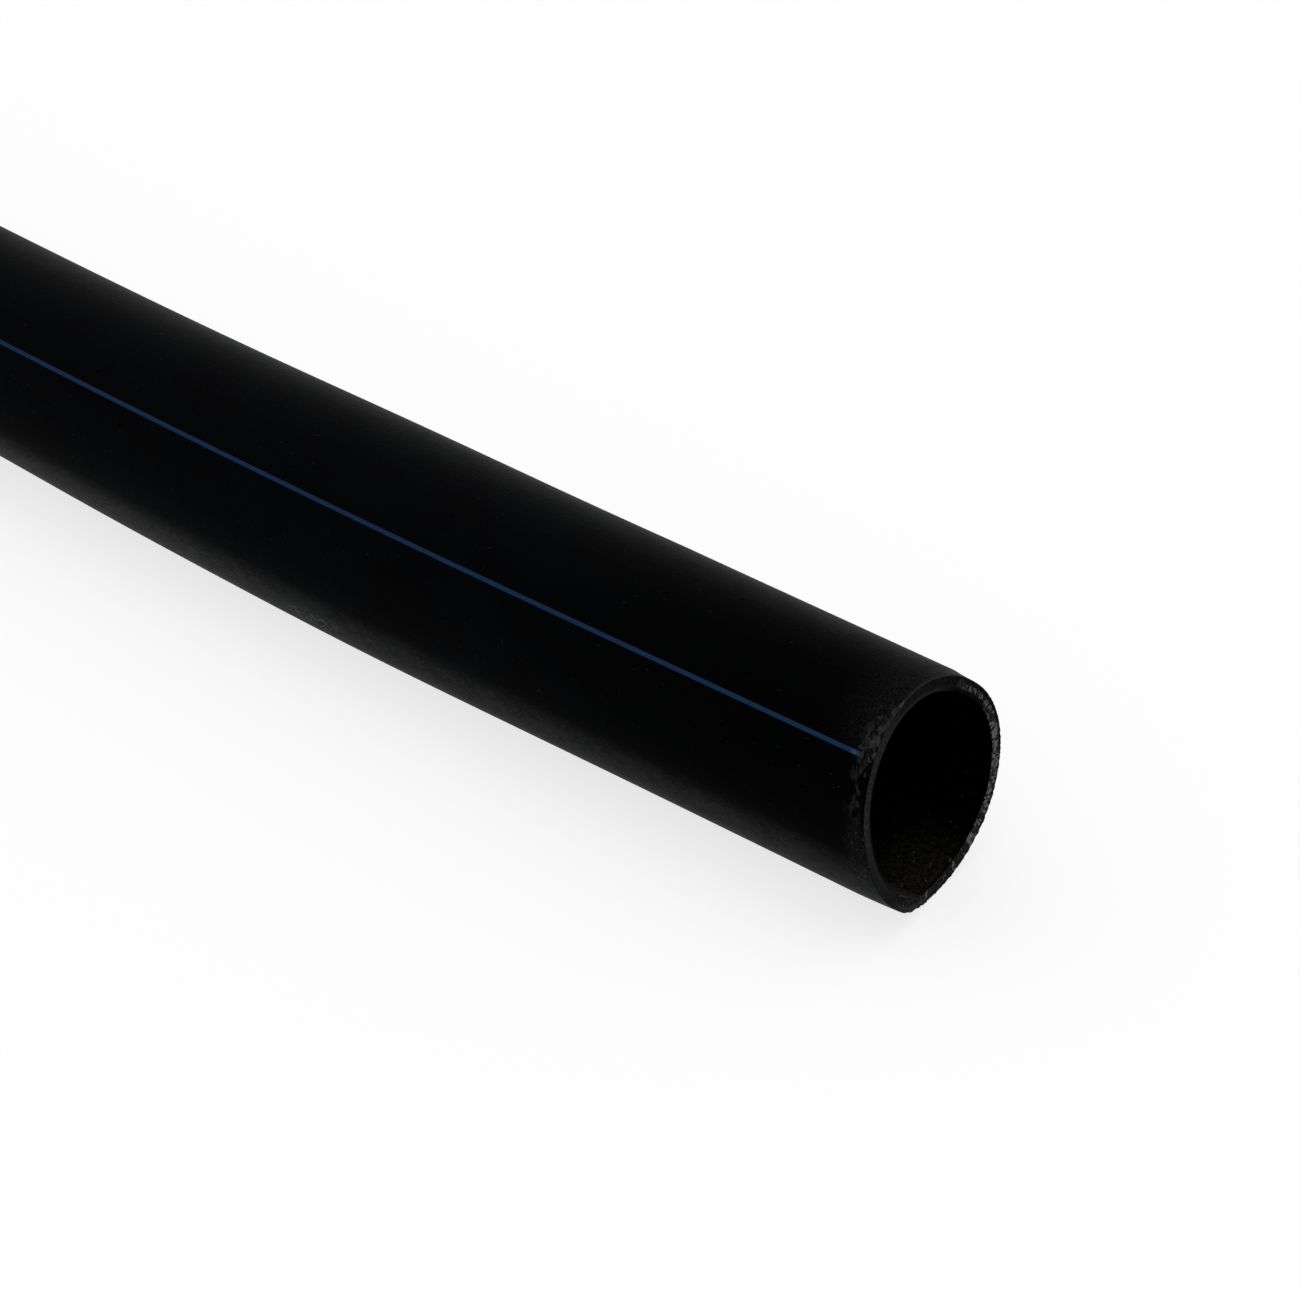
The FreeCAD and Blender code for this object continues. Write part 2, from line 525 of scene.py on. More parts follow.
def side(tree, place, middle, turn):
    """1 on one side of the pipe, with its middle in degrees from the front over the top. The turn
    from there is how far the mask is full and where it is gone, to both sides."""
    full_within, none_beyond = turn
    settings = {
        "Middle": math.radians(middle),
        "Full_Within": math.radians(full_within),
        "None_Beyond": math.radians(none_beyond),
    }
    return mask_of(tree, side_of_pipe, place, **settings)


def by_saw(tree, place, back):
    """1 at the sawn end: back, in metres, is how far the mask is full and where it is gone."""
    full_up_to, none_beyond = back
    return mask_of(tree, near_saw, place, Full_Up_To=full_up_to, None_Beyond=none_beyond)


def end_patch(tree, place, middle, turn, back):
    """A soft patch on the sawn end, on one side of the pipe."""
    return product(tree, side(tree, place, middle, turn), by_saw(tree, place, back))


def spot(tree, place, middle, half_turn, back, half_length):
    """A soft spot on the skin, at this angle and this far back from the saw."""
    away = calc(tree, "ABSOLUTE", calc(tree, "SUBTRACT", split(tree, place)[0], back))
    return product(tree, side(tree, place, middle, (0.0, half_turn)), ramp(tree, away, half_length, 0.0))


rim_scuffs, given, result = new_tree(
    "Rim scuffs",
    [
        ("Place", "Vector", (0.0, 0.0, 0.0)),
        ("Flake Size", "Float", 0.0023),
        ("Reach", "Float", 0.0075),
    ],
    [("Mask", "Float", None)],
    kind="ShaderNodeTree",
)
worst = end_patch(rim_scuffs, given["Place"], 51.0, turn=(8.0, 20.0), back=(0.0025, 0.006))
lighter = product(
    rim_scuffs,
    end_patch(rim_scuffs, given["Place"], 36.0, turn=(16.0, 34.0), back=(0.003, given["Reach"])),
    opposite(rim_scuffs, by_saw(rim_scuffs, given["Place"], back=(0.0008, 0.0022))),
)
reached = calc(rim_scuffs, "MAXIMUM", worst, calc(rim_scuffs, "MULTIPLY", lighter, 0.4))
flakes = mask_of(
    rim_scuffs,
    specks,
    given["Place"],
    Stretch=(1.0, 1.5, 1.5),
    Size=given["Flake Size"],
    Level=0.45,
    Softness=0.16,
    Detail=3.0,
)
crumbled = mask_of(rim_scuffs, specks, given["Place"], Size=0.0006, Level=0.15, Softness=0.4)
rim_scuffs.links.new(product(rim_scuffs, reached, flakes, crumbled), result["Mask"])

skin, tree, shader = principled(
    "black_polyethylene_skin",
    Roughness=0.5,
    Specular_IOR_Level=0.006,
    Sheen_Weight=0.04,
    Sheen_Roughness=0.3,
)
place = attribute(tree, "straight_place", "Vector")
mottle = mask_of(tree, specks, place, Stretch=(2.0, 1.0, 1.0), Size=0.012, Level=0.42, Softness=0.18)
grain = mask_of(tree, specks, place, Size=0.0006, Level=0.3, Softness=0.4)
rubs = mask_of(
    tree, specks, place, Stretch=(3.0, 1.0, 1.0), Size=0.0011, Level=0.55, Softness=0.2, Detail=4.0
)
grit = mask_of(tree, specks, place, Stretch=(1.6, 1.0, 1.0), Size=0.0012, Level=0.69, Softness=0.06)
cloud = mask_of(
    tree, specks, place, Stretch=(1.8, 1.0, 1.0), Size=0.006, Level=0.38, Softness=0.24, Detail=4.0
)
flecks = mask_of(tree, specks, place, Size=0.0008, Level=0.64, Softness=0.06)
chips = mask_of(tree, specks, place, Size=0.0011, Level=0.5, Softness=0.08, Detail=3.0)
scuffs = mask_of(tree, rim_scuffs, place)
# The rubs that break up the painted highlight along the rim.
rim_highlight_rubs = calc(tree, "ADD", rubs, 0.5)

near_end = by_saw(tree, place, back=(0.03, 0.15))
far_end = opposite(tree, by_saw(tree, place, back=(0.15, 0.32)))
underside = side(tree, place, -60.0, turn=(34.0, 53.0))
dustier_underside = product(tree, side(tree, place, -60.0, turn=(32.0, 53.0)), far_end)
upper_back = side(tree, place, 128.0, turn=(18.0, 42.0))
rim_haze = end_patch(tree, place, 72.0, turn=(12.0, 40.0), back=(0.003, 0.02))
low_haze = end_patch(tree, place, -7.0, turn=(8.0, 20.0), back=(0.004, 0.009))
flecked = end_patch(tree, place, -14.0, turn=(12.0, 30.0), back=(0.003, 0.006))
# Painted highlight: a pale line along the rounded outer rim, broken up by the rubs.
rim_highlight = end_patch(tree, place, 82.0, turn=(22.0, 34.0), back=(0.0002, 0.0011))
edge_glint = end_patch(tree, place, 70.0, turn=(0.5, 2.4), back=(0.0001, 0.0005))
shaded_edge = end_patch(tree, place, -34.0, turn=(12.0, 26.0), back=(0.0004, 0.002))
torn_corner = end_patch(tree, place, -74.0, turn=(14.0, 34.0), back=(0.002, 0.0045))
pale_patch = spot(tree, place, -30.0, half_turn=8.0, back=0.207, half_length=0.02)
# Painted highlight: a pale spot on the bottom toe, just behind the saw.
toe_highlight = spot(tree, place, -50.0, half_turn=9.0, back=0.006, half_length=0.006)
torn_colour = paint_over(tree, (0.0045, 0.0045, 0.0045), chips, (0.036, 0.036, 0.034))
skin_colour = paint_layers(
    tree,
    (0.0005, 0.0008, 0.0011),
    (near_end, (0.0, 0.0001, 0.0002)),
    (product(tree, mottle, 0.4), (0.0006, 0.0003, 0.0007)),
    (product(tree, rim_haze, grain), (0.0055, 0.0055, 0.0058)),
    (product(tree, low_haze, grain), (0.0058, 0.006, 0.0062)),
    (product(tree, underside, grain, 0.55), (0.022, 0.0225, 0.0235)),
    (product(tree, dustier_underside, grain, 0.6), (0.03, 0.0305, 0.0315)),
    (product(tree, underside, cloud, 0.1), (0.04, 0.041, 0.041)),
    (product(tree, upper_back, cloud, 0.2), (0.009, 0.0092, 0.0092)),
    (product(tree, underside, rubs, 0.35), (0.034, 0.036, 0.04)),
    (product(tree, grit, 0.5), (0.008, 0.008, 0.008)),
    (scuffs, (0.026, 0.026, 0.0275)),
    # painted highlight along the rim
    (product(tree, rim_highlight, rim_highlight_rubs), (0.02, 0.0205, 0.021)),
    (edge_glint, (0.045, 0.045, 0.044)),
    (product(tree, pale_patch, chips, 0.7), (0.06, 0.062, 0.062)),
    (product(tree, shaded_edge, 0.8), (0.004, 0.0048, 0.0052)),
    (product(tree, flecked, flecks), (0.024, 0.025, 0.027)),
    # painted highlight on the bottom toe
    (product(tree, toe_highlight, 0.6), (0.05, 0.055, 0.06)),
    (torn_corner, torn_colour),
)
tree.links.new(skin_colour, shader.inputs["Base Color"])
lumps = calc(tree, "MULTIPLY_ADD", grain, 0.3, calc(tree, "MULTIPLY", scuffs, 1.2))
relief(tree, shader, calc(tree, "MULTIPLY_ADD", rubs, 0.4, lumps), distance=0.00012)

bore, tree, shader = principled("black_polyethylene_bore", Roughness=0.6, Specular_IOR_Level=0.003)
place = attribute(tree, "straight_place", "Vector")
powder = mask_of(tree, specks, place, Size=0.0011, Level=0.25, Softness=0.45, Detail=5.0)
crumbs = mask_of(tree, specks, place, Stretch=(1.5, 1.0, 1.0), Size=0.0012, Level=0.685, Softness=0.06)
low = end_patch(tree, place, -80.0, turn=(5.0, 58.0), back=(0.011, 0.027))
heap = end_patch(tree, place, -55.0, turn=(8.0, 22.0), back=(0.009, 0.02))
strewn = end_patch(tree, place, -100.0, turn=(30.0, 70.0), back=(0.015, 0.035))
lip = end_patch(tree, place, -46.0, turn=(5.0, 14.0), back=(0.002, 0.0045))
bore_colour = paint_layers(
    tree,
    (0.00005, 0.00005, 0.00005),
    (product(tree, low, powder), (0.013, 0.0122, 0.0103)),
    (product(tree, heap, powder), (0.026, 0.024, 0.0205)),
    (product(tree, strewn, crumbs), (0.042, 0.04, 0.037)),
    (lip, (0.088, 0.086, 0.08)),
)
tree.links.new(bore_colour, shader.inputs["Base Color"])
relief(tree, shader, powder, distance=0.00008)

sawn, tree, shader = principled("sawn_polyethylene", Roughness=0.6, Specular_IOR_Level=0.01)
place = attribute(tree, "straight_place", "Vector")
depth = attribute(tree, "wall_depth", "Fac")
in_section = vector_calc(tree, "NORMALIZE", vector_calc(tree, "MULTIPLY", place, (0.0, 1.0, 1.0)))
around = vector_calc(tree, "MULTIPLY", in_section, (0.0, PIPE_RADIUS, PIPE_RADIUS))
in_face = vector_calc(tree, "ADD", around, join(tree, calc(tree, "MULTIPLY", depth, WALL), 0.0, 0.0))


def face_band(middle, turn, fade):
    """A soft band of the sawn face, on one side of the pipe. Fade is where it is gone and where it
    is full, as shares of the way from the skin to the bore."""
    none_at, full_at = fade
    return product(tree, side(tree, place, middle, turn), ramp(tree, depth, none_at, full_at))


fine = mask_of(tree, specks, in_face, Stretch=(1.6, 1.0, 1.0), Size=0.0007, Level=0.36, Softness=0.3)
pits = mask_of(tree, specks, in_face, Size=0.001, Level=0.54, Softness=0.08, Detail=3.0)
chips = mask_of(tree, specks, in_face, Size=0.001, Level=0.52, Softness=0.08, Detail=3.0)
patches = mask_of(tree, specks, in_face, Stretch=(1.5, 1.0, 1.0), Size=0.0032, Level=0.42, Softness=0.2)
clean_side = side(tree, place, 12.0, turn=(32.0, 62.0))
broken_side = side(tree, place, -66.0, turn=(14.0, 30.0))
torn_side = side(tree, place, 202.5, turn=(78.0, 88.0))
bright_side = side(tree, place, 175.0, turn=(36.0, 76.0))
shaded_side = side(tree, place, 122.0, turn=(0.0, 65.0))
streaks = mask_of(
    tree,
    specks,
    in_face,
    Stretch=(1.9, 1.0, 1.0),
    Size=0.0009,
    Level=calc(tree, "MULTIPLY_ADD", bright_side, -0.12, 0.57),
    Softness=0.1,
    Detail=4.0,
)
clean_cut = paint_over(tree, (0.0058, 0.0064, 0.0065), fine, (0.0158, 0.0156, 0.015))
torn_ground = paint_over(tree, (0.0055, 0.006, 0.0065), bright_side, (0.009, 0.0088, 0.0085))
torn_light = paint_over(tree, (0.079, 0.082, 0.086), patches, (0.094, 0.089, 0.08))
torn_face = paint_layers(
    tree,
    torn_ground,
    (streaks, torn_light),
    # painted shade in the pits of the torn face
    (product(tree, pits, 0.7), (0.002, 0.002, 0.002)),
)
unpitted = ramp(tree, pits, 1.0, 0.3)
for middle, half_turn in ((-82.0, 1.5), (-111.0, 1.5), (-128.5, 3.5)):
    tear = product(tree, side(tree, place, middle, (half_turn * 0.5, half_turn)), unpitted)
    torn_face = paint_over(tree, torn_face, tear, (0.09, 0.094, 0.1))
# Painted shade: a dark border along the outer edge of the torn face, widest on the upper back.
outer_edge_shade_end = calc(tree, "MULTIPLY_ADD", shaded_side, 0.12, 0.17)
outer_edge_shade = ramp(tree, depth, calc(tree, "ADD", outer_edge_shade_end, 0.1), outer_edge_shade_end)
face_colour = paint_layers(
    tree,
    (0.0005, 0.0007, 0.001),
    (fine, (0.0044, 0.0043, 0.005)),
    (face_band(90.0, turn=(25.0, 48.0), fade=(0.5, 1.0)), (0.0105, 0.0105, 0.0105)),
    (clean_side, clean_cut),
    (product(tree, face_band(-28.0, turn=(12.0, 28.0), fade=(0.8, 0.5)), 0.65), (0.0048, 0.0052, 0.0056)),
    (face_band(33.0, turn=(8.0, 16.0), fade=(0.28, 0.05)), (0.002, 0.002, 0.0025)),
    (face_band(-58.0, turn=(7.0, 20.0), fade=(0.45, 0.1)), (0.0145, 0.015, 0.015)),
    (product(tree, broken_side, chips, 0.7), (0.022, 0.022, 0.021)),
    # painted shade: a dark line along the inner edge on the front
    (face_band(0.0, turn=(20.0, 45.0), fade=(0.74, 0.88)), (0.001, 0.001, 0.001)),
    (torn_side, torn_face),
    # painted shade along the torn face's outer edge
    (product(tree, torn_side, outer_edge_shade), (0.003, 0.0029, 0.003)),
    (face_band(130.0, turn=(15.0, 31.0), fade=(0.62, 0.8)), (0.0005, 0.0005, 0.0005)),
)
tree.links.new(face_colour, shader.inputs["Base Color"])
relief(tree, shader, product(tree, streaks, torn_side), distance=0.00025)

square_cut, tree, shader = principled("square_cut_polyethylene", Roughness=0.6, Specular_IOR_Level=0.01)
place = attribute(tree, "straight_place", "Vector")
knife_lines = mask_of(tree, specks, place, Stretch=(1.0, 16.0, 1.0), Size=0.0005, Level=0.35, Softness=0.3)
cut_colour = paint_over(tree, (0.0075, 0.0082, 0.0085), knife_lines, (0.0135, 0.0138, 0.0135))
tree.links.new(cut_colour, shader.inputs["Base Color"])
relief(tree, shader, knife_lines, distance=0.00005)

wall_tree, given, result = new_tree(
    "Pipe wall",
    [
        ("Radius", "Float", PIPE_RADIUS),
        ("Wall", "Float", WALL),
        ("Length", "Float", PIPE_LENGTH),
        ("Steps Around", "Int", STEPS_AROUND),
        ("Rows", "Int", ROWS),
        ("Outer Edge Round", "Float", 0.00022),
        ("Outer Edge Round Stretch", "Float", 1.3),
        ("Bottom Corner Round", "Float", 0.0022),
        ("Bottom Corner Angle", "Float", math.radians(-72.9)),
        ("Bottom Corner Half Width", "Float", math.radians(16.0)),
        ("Bottom Corner Nibbles", "Float", 0.0055),
        ("Bottom Corner Nibbles Reach", "Float", 0.0025),
        ("Bottom Corner Nibbles Per Radius", "Float", 36.0),
        ("Front Dish", "Float", 0.00078),
        ("Back Dish", "Float", -0.00027),
        ("Inner Edge Rags", "Float", 0.0013),
        ("Inner Edge Rags Reach", "Float", 0.0009),
        ("Inner Edge Rags Per Radius", "Float", 34.0),
        ("Inner Edge Rags Level", "Float", 0.2),
        ("Inner Edge Rags Steepness", "Float", 3.0),
        ("Weld Distance", "Float", 0.00001),
        ("Skin", "Material", None),
        ("Sawn Face", "Material", None),
        ("Bore", "Material", None),
        ("Square Face", "Material", None),
    ],
    [("Geometry", "Geometry", None)],
)
grid = add_node(
    wall_tree,
    "GeometryNodeMeshGrid",
    {
        "Size X": 1.0,
        "Size Y": 1.0,
        "Vertices X": calc(wall_tree, "ADD", given["Steps Around"], 1.0),
        "Vertices Y": calc(wall_tree, "ADD", given["Rows"], 1.0),
    },
)
across, lengthways, _ = place_in_section(wall_tree)
angle = calc(wall_tree, "MULTIPLY_ADD", across, math.tau, math.pi)
row = calc(wall_tree, "MULTIPLY", calc(wall_tree, "ADD", lengthways, 0.5), given["Rows"])


def part_of_rows(start, count):
    """0 before these rows, 1 after them, and even between."""
    values = {"Value": row, "From Min": float(start), "From Max": float(start + count)}
    return add_node(wall_tree, "ShaderNodeMapRange", values).outputs[0]


def spread_rows(share_of_rows):
    """How far from the saw these rows lie: close together near it and wide apart beyond."""
    crowded = calc(wall_tree, "POWER", share_of_rows, ROW_CROWDING)
    crowded = calc(wall_tree, "MULTIPLY", crowded, 1.0 - EVEN_SHARE_OF_ROWS)
    spread = calc(wall_tree, "MULTIPLY_ADD", share_of_rows, EVEN_SHARE_OF_ROWS, crowded)
    return calc(wall_tree, "MULTIPLY", spread, given["Length"])


def fade_back(distance, reach):
    """1 at the saw, falling away further back."""
    reaches = calc(wall_tree, "DIVIDE", distance, reach)
    return calc(wall_tree, "EXPONENT", calc(wall_tree, "MULTIPLY", reaches, -1.0))


skin_left = opposite(wall_tree, part_of_rows(0, SKIN_ROWS))
sawn_part = part_of_rows(SKIN_ROWS, SAWN_FACE_ROWS)
bore_part = part_of_rows(SKIN_ROWS + SAWN_FACE_ROWS, BORE_ROWS)
square_part = part_of_rows(ROWS - SQUARE_FACE_ROWS, SQUARE_FACE_ROWS)
skin_from_saw = spread_rows(skin_left)
from_saw = spread_rows(calc(wall_tree, "ADD", skin_left, bore_part))

sine = calc(wall_tree, "SINE", angle)
cosine = calc(wall_tree, "COSINE", angle)
corner = place_group(
    wall_tree,
    swell,
    {
        "Front": cosine,
        "Up": sine,
        "Angle": given["Bottom Corner Angle"],
        "Half Width": given["Bottom Corner Half Width"],
    },
)["Share"]
corner_noise = add_node(
    wall_tree,
    "ShaderNodeTexNoise",
    {
        "Vector": join(wall_tree, cosine, sine, skin_from_saw),
        "Scale": given["Bottom Corner Nibbles Per Radius"],
        "Detail": 3.0,
    },
)
nibble = calc(wall_tree, "SUBTRACT", corner_noise.outputs["Fac"], 0.5)
nibble_fade = fade_back(skin_from_saw, given["Bottom Corner Nibbles Reach"])
outermost = opposite(wall_tree, sawn_part)
nibble = product(wall_tree, nibble, corner, nibble_fade, outermost, given["Bottom Corner Nibbles"])
edge_round = calc(wall_tree, "MULTIPLY_ADD", corner, given["Bottom Corner Round"], given["Outer Edge Round"])
round_length = calc(wall_tree, "MULTIPLY", edge_round, given["Outer Edge Round Stretch"])
before_round = calc(wall_tree, "DIVIDE", skin_from_saw, round_length)
into_round = opposite(wall_tree, calc(wall_tree, "MINIMUM", before_round, 1.0))
round_squared = calc(wall_tree, "MULTIPLY", into_round, into_round)
quarter_round = calc(wall_tree, "SQRT", opposite(wall_tree, round_squared))
skin_inset = calc(wall_tree, "MULTIPLY", edge_round, opposite(wall_tree, quarter_round))
skin_inset = calc(wall_tree, "ADD", skin_inset, nibble)
rest_of_wall = calc(wall_tree, "SUBTRACT", given["Wall"], edge_round)
sawn_inset = calc(wall_tree, "MULTIPLY_ADD", rest_of_wall, sawn_part, skin_inset)
inset = calc(wall_tree, "MULTIPLY", sawn_inset, opposite(wall_tree, square_part))

share = place_group(
    wall_tree,
    front_share,
    {
        "Front": calc(wall_tree, "MULTIPLY", given["Radius"], cosine),
        "Up": calc(wall_tree, "MULTIPLY", given["Radius"], sine),
    },
)["Share"]
rags = add_node(
    wall_tree,
    "ShaderNodeTexNoise",
    {
        "Vector": join(wall_tree, cosine, sine, 0.0),
        "Scale": given["Inner Edge Rags Per Radius"],
        "Detail": 3.0,
    },
)
rag_height = calc(wall_tree, "SUBTRACT", rags.outputs["Fac"], given["Inner Edge Rags Level"])
rag_share = product(
    wall_tree,
    calc(wall_tree, "POWER", sawn_part, given["Inner Edge Rags Steepness"]),
    fade_back(from_saw, given["Inner Edge Rags Reach"]),
    opposite(wall_tree, share),
)
rag = product(wall_tree, rag_height, rag_share, given["Inner Edge Rags"])
radius = calc(wall_tree, "SUBTRACT", calc(wall_tree, "SUBTRACT", given["Radius"], inset), rag)
before_dish = calc(wall_tree, "SUBTRACT", given["Length"], from_saw)
more_dish = calc(wall_tree, "SUBTRACT", given["Front Dish"], given["Back Dish"])
dish_here = calc(wall_tree, "MULTIPLY_ADD", more_dish, share, given["Back Dish"])
dish = product(wall_tree, sawn_part, dish_here, before_dish)
along = calc(wall_tree, "SUBTRACT", before_dish, calc(wall_tree, "DIVIDE", dish, given["Length"]))
noted = store(wall_tree, grid.outputs["Mesh"], "wall_row", row, domain="FACE")
noted = store(wall_tree, noted, "wall_depth", sawn_part)
rolled = add_node(
    wall_tree,
    "GeometryNodeSetPosition",
    {"Geometry": noted, "Position": round_the_pipe(wall_tree, along, radius, angle)},
)
closed = add_node(
    wall_tree,
    "GeometryNodeMergeByDistance",
    {
        "Geometry": cut_and_bent(wall_tree, rolled.outputs[0], given["Length"]),
        "Distance": given["Weld Distance"],
    },
)
finished = set_finish(wall_tree, closed.outputs[0], given["Skin"])
finishes = (
    (SKIN_ROWS, "Sawn Face"),
    (SKIN_ROWS + SAWN_FACE_ROWS, "Bore"),
    (ROWS - SQUARE_FACE_ROWS, "Square Face"),
)
for start, finish in finishes:
    chosen = calc(wall_tree, "GREATER_THAN", kept_number(wall_tree, "wall_row"), float(start))
    finished = set_finish(wall_tree, finished, given[finish], chosen)
wall_tree.links.new(finished, result["Geometry"])

wall_finishes = {"Skin": skin, "Sawn Face": sawn, "Bore": bore, "Square Face": square_cut}
pipe_wall = make_piece("pipe_wall_skin", wall_tree, wall_finishes)
pipe_wall.data.shade_smooth()
pipe_wall.data.set_sharp_from_angle(angle=math.radians(50))
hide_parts("pipe_wall")
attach(pipe_wall, "root")


# The burrs: shavings and crumbs of the same polyethylene that the saw tore up as it went in.
# They cling to the skin just behind the rim, on both sides of the front stripe's end.
THICKNESS_RANGE = (0.5, 1.8)
LENGTH_RANGE = (0.2, 1.0)
SWIRL = 1.2

burr, tree, shader = principled("torn_polyethylene", Roughness=0.7, Specular_IOR_Level=0.01)
place = attribute(tree, "straight_place", "Vector")
frayed = mask_of(tree, specks, place, Size=0.0016, Level=0.4, Softness=0.25)
burr_colour = paint_over(tree, (0.003, 0.0032, 0.0035), frayed, (0.018, 0.0185, 0.0195))
tree.links.new(burr_colour, shader.inputs["Base Color"])

burr_tree, given, result = new_tree(
    "Saw burrs",
    [
        ("Radius", "Float", PIPE_RADIUS),
        ("Length", "Float", PIPE_LENGTH),
        ("Count", "Int", 26),
        ("Middle Angle", "Float", math.radians(49.0)),
        ("Angle To Each Side", "Float", math.radians(20.0)),
        ("Nearest", "Float", 0.0003),
        ("Farthest", "Float", 0.005),
        ("Crowding", "Float", 1.6),
        ("Shaving Length", "Float", 0.0013),
        ("Shaving Width", "Float", 0.0004),
        ("Shaving Height", "Float", 0.00012),
        ("Crumple", "Vector", (0.0006, 0.0004, 0.0004)),
        ("Crumples Per Metre", "Float", 1300.0),
        ("Torn", "Material", None),
    ],
    [("Geometry", "Geometry", None)],
)


def random_number(low, high, seed):
    """A different number for each burr, the same in every run."""
    values = {"Min": low, "Max": high, "Seed": seed}
    return add_node(burr_tree, "FunctionNodeRandomValue", values, data_type="FLOAT").outputs[1]


chance = random_number(0.0, 1.0, 11)
reach_back = calc(burr_tree, "POWER", chance, given["Crowding"])
gap = calc(burr_tree, "SUBTRACT", given["Farthest"], given["Nearest"])
burr_from_saw = calc(burr_tree, "MULTIPLY_ADD", gap, reach_back, given["Nearest"])
aside = calc(burr_tree, "ADD", random_number(-0.5, 0.5, 12), random_number(-0.5, 0.5, 17))
angle = calc(burr_tree, "MULTIPLY_ADD", aside, given["Angle To Each Side"], given["Middle Angle"])
along = calc(burr_tree, "SUBTRACT", given["Length"], burr_from_saw)
spots = add_node(
    burr_tree,
    "GeometryNodePoints",
    {"Count": given["Count"], "Position": round_the_pipe(burr_tree, along, given["Radius"], angle)},
)
crumb = add_node(burr_tree, "GeometryNodeMeshIcoSphere", {"Radius": 1.0, "Subdivisions": 2})
lying = add_node(
    burr_tree,
    "FunctionNodeAxisAngleToRotation",
    {"Axis": (1.0, 0.0, 0.0), "Angle": angle},
)
swirl = add_node(
    burr_tree,
    "FunctionNodeAxisAngleToRotation",
    {"Axis": (0.0, 1.0, 0.0), "Angle": random_number(-SWIRL, SWIRL, 13)},
)
turned = add_node(
    burr_tree,
    "FunctionNodeRotateRotation",
    {0: lying.outputs[0], 1: swirl.outputs[0]},
    rotation_space="LOCAL",
)
burr_size = join(
    burr_tree,
    calc(burr_tree, "MULTIPLY", given["Shaving Width"], random_number(*THICKNESS_RANGE, 14)),
    calc(burr_tree, "MULTIPLY", given["Shaving Height"], random_number(*THICKNESS_RANGE, 15)),
    calc(burr_tree, "MULTIPLY", given["Shaving Length"], random_number(*LENGTH_RANGE, 16)),
)
scattered = add_node(
    burr_tree,
    "GeometryNodeInstanceOnPoints",
    {
        "Points": spots.outputs[0],
        "Instance": crumb.outputs["Mesh"],
        "Rotation": turned.outputs[0],
        "Scale": burr_size,
    },
)
loose = add_node(burr_tree, "GeometryNodeRealizeInstances", {"Geometry": scattered.outputs[0]})
crumple = add_node(
    burr_tree,
    "ShaderNodeTexNoise",
    {
        "Vector": add_node(burr_tree, "GeometryNodeInputPosition").outputs[0],
        "Scale": given["Crumples Per Metre"],
        "Detail": 2.0,
    },
)
wrench = vector_calc(burr_tree, "SUBTRACT", crumple.outputs["Color"], (0.5, 0.5, 0.5))
crumpled = add_node(
    burr_tree,
    "GeometryNodeSetPosition",
    {"Geometry": loose.outputs[0], "Offset": vector_calc(burr_tree, "MULTIPLY", wrench, given["Crumple"])},
)
placed = cut_and_bent(burr_tree, crumpled.outputs[0], given["Length"])
burr_tree.links.new(set_finish(burr_tree, placed, given["Torn"]), result["Geometry"])

burrs = make_piece("saw_burrs", burr_tree, {"Torn": burr})
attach(burrs, "root")


# The blue stripes: three thin bands of blue polyethylene, fused flush into the outside as the
# pipe is extruded, a third of a turn apart. They mark it as a water pipe.
STRIPE_WIDTH = 0.0012
STRIPE_DEPTH = 0.0004
STRIPE_PROUD = 0.00004
STRIPE_ANGLE = 39.8
STRIPE_COUNT = 3

blue, tree, shader = principled("blue_polyethylene", Roughness=0.5, Specular_IOR_Level=0.006)
place = attribute(tree, "straight_place", "Vector")
worn = mask_of(tree, specks, place, Stretch=(6.0, 1.0, 1.0), Size=0.0009, Level=0.4, Softness=0.3)
frayed = product(
    tree,
    by_saw(tree, place, back=(0.0055, 0.0085)),
    mask_of(tree, specks, place, Size=0.0009, Level=0.36, Softness=0.2, Detail=4.0),
)
gone = product(
    tree,
    by_saw(tree, place, back=(0.0035, 0.0065)),
    mask_of(tree, specks, place, Size=0.0009, Level=0.38, Softness=0.1, Detail=3.0),
)
stripe_colour = paint_layers(
    tree,
    (0.0075, 0.0215, 0.053),
    (product(tree, worn, 0.35), (0.0055, 0.0165, 0.043)),
    (product(tree, frayed, 0.75), (0.028, 0.07, 0.1)),
    (gone, (0.008, 0.0085, 0.0105)),
)
tree.links.new(stripe_colour, shader.inputs["Base Color"])

stripe_tree, given, result = new_tree(
    "Blue stripes",
    [
        ("Radius", "Float", PIPE_RADIUS),
        ("Width", "Float", STRIPE_WIDTH),
        ("Depth", "Float", STRIPE_DEPTH),
        ("Proud", "Float", STRIPE_PROUD),
        ("First Angle", "Float", math.radians(STRIPE_ANGLE)),
        ("Count", "Int", STRIPE_COUNT),
        ("Length", "Float", PIPE_LENGTH),
        ("Worn Back", "Float", 0.0032),
        ("Points Along", "Int", 240),
        ("Points Across", "Int", 5),
        ("Blue", "Material", None),
    ],
    [("Geometry", "Geometry", None)],
)
band = add_node(
    stripe_tree,
    "GeometryNodeMeshCube",
    {
        "Size": join(stripe_tree, given["Length"], given["Width"], given["Depth"]),
        "Vertices X": given["Points Along"],
        "Vertices Y": given["Points Across"],
        "Vertices Z": 2,
    },
)
as_instance = add_node(stripe_tree, "GeometryNodeGeometryToInstance", {"Geometry": band.outputs["Mesh"]})
copies = add_node(
    stripe_tree,
    "GeometryNodeDuplicateElements",
    {"Geometry": as_instance.outputs[0], "Amount": given["Count"]},
    domain="INSTANCE",
)
copy_number = copies.outputs["Duplicate Index"]
numbered = store(stripe_tree, copies.outputs["Geometry"], "stripe_number", copy_number, domain="INSTANCE")
bands = add_node(stripe_tree, "GeometryNodeRealizeInstances", {"Geometry": numbered})
